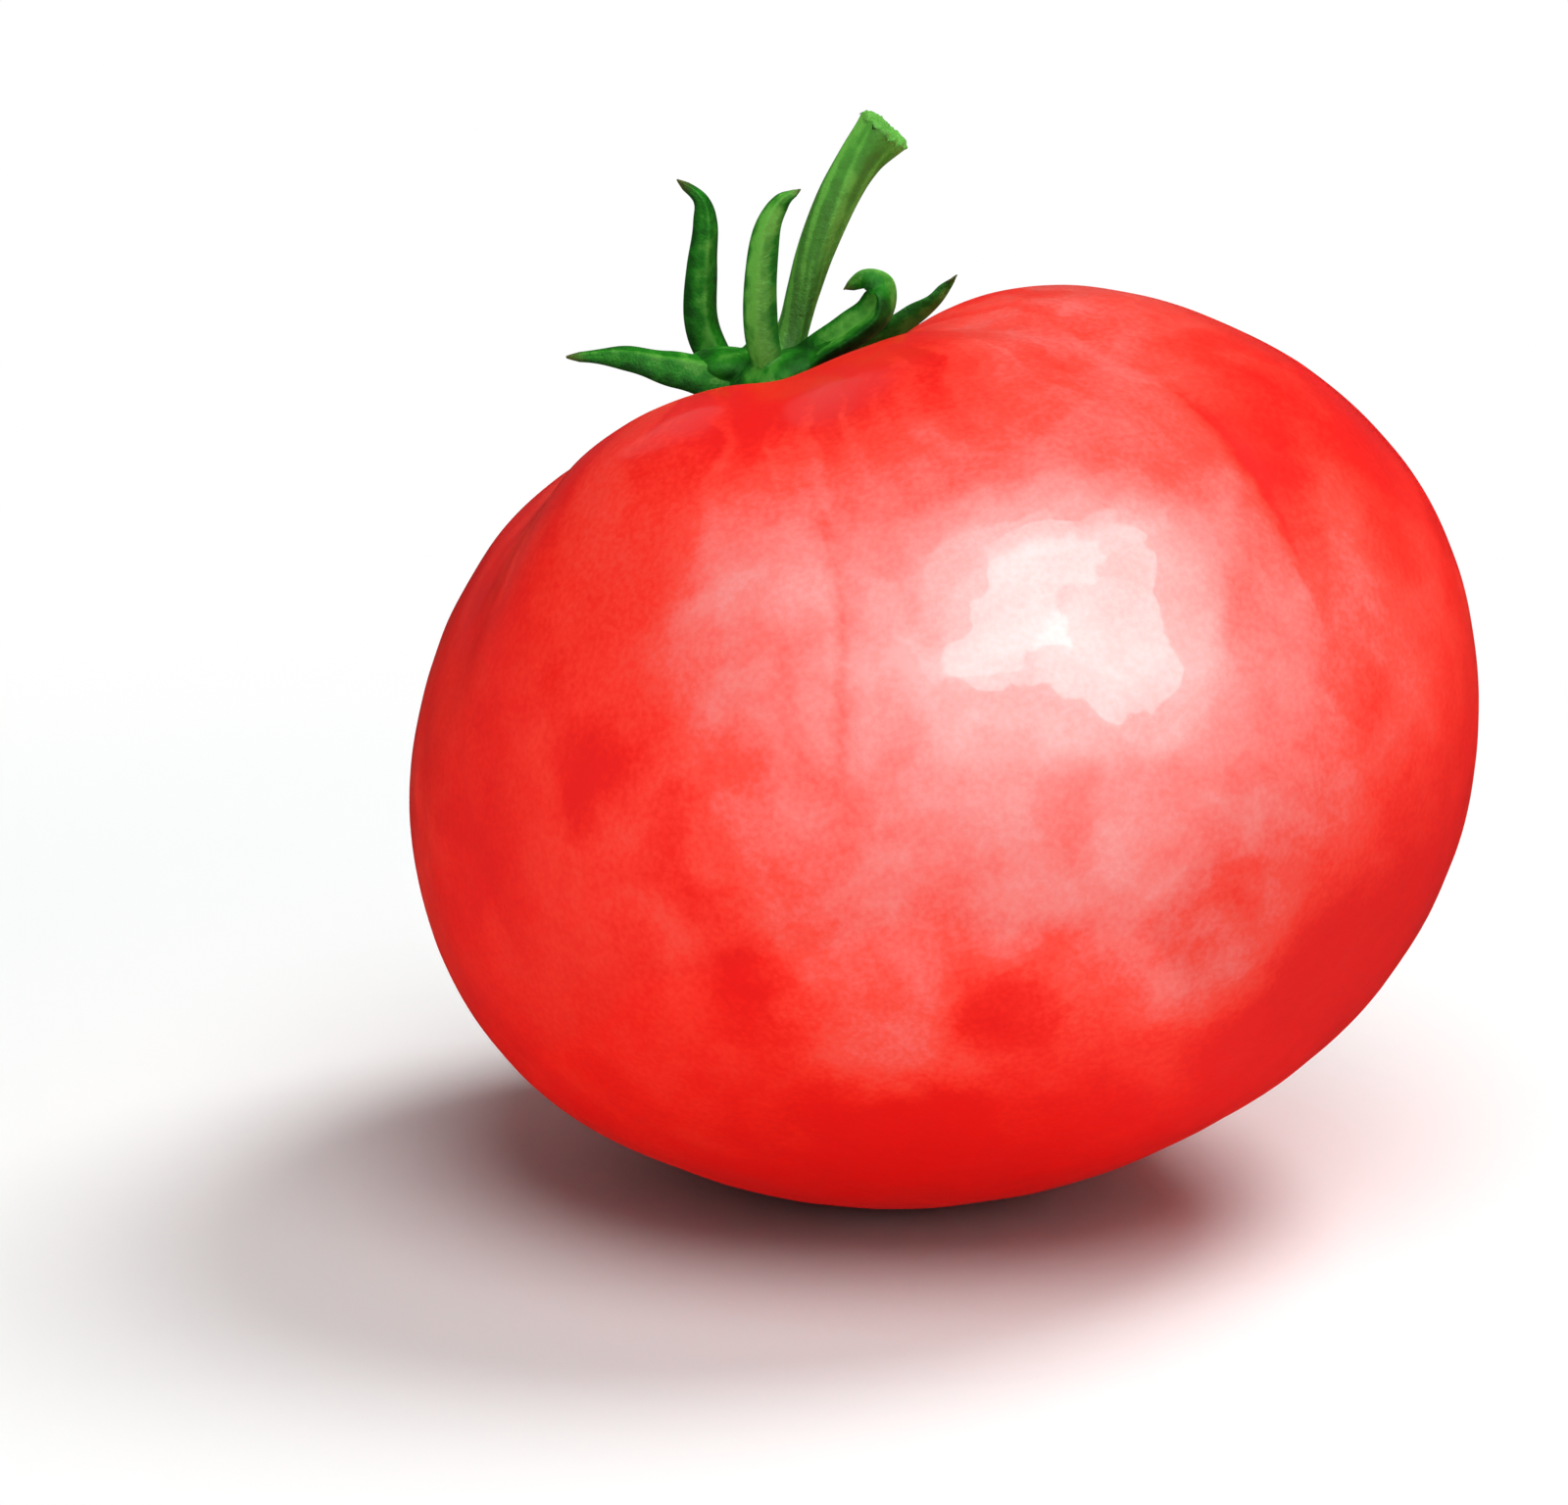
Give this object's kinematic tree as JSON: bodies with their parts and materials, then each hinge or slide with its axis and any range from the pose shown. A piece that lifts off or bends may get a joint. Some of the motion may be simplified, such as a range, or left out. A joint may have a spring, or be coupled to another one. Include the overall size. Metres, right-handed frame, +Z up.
{
  "type": "tomato",
  "caption": "Ripe lobed tomato with its calyx and a short cut stem, leaning on a small flat spot so that it rests steadily on a level surface.",
  "frame": {"origin": "on the resting surface, below the middle of the whole object's bounding box; the flat spot lies in the plane z = 0", "axes": "+Z up, away from the surface that the tomato rests on; -Y towards the viewer who sees the calyx at the upper left; +X to that viewer's right. The fruit's own axis leans 22.5 degrees towards -X and 12 degrees towards +Y"},
  "size_m": [0.0748, 0.0755, 0.0762],
  "materials": {
    "skin": "smooth waxy ripe skin, glossy red with paler salmon and deeper scarlet patches",
    "calyx_green": "dull leafy green, lighter along the middle of each sepal, with fine hairs",
    "stem_green": "finely ridged soft green stem with a paler fibrous cut end"
  },
  "bodies": {
    "root": {"fruit": "skin", "calyx_hub": "calyx_green", "sepal_left": "calyx_green", "sepal_standing_left": "calyx_green", "sepal_standing_right": "calyx_green", "sepal_hooked": "calyx_green", "sepal_right": "calyx_green", "stem": "stem_green"}
  },
  "joints": []
}
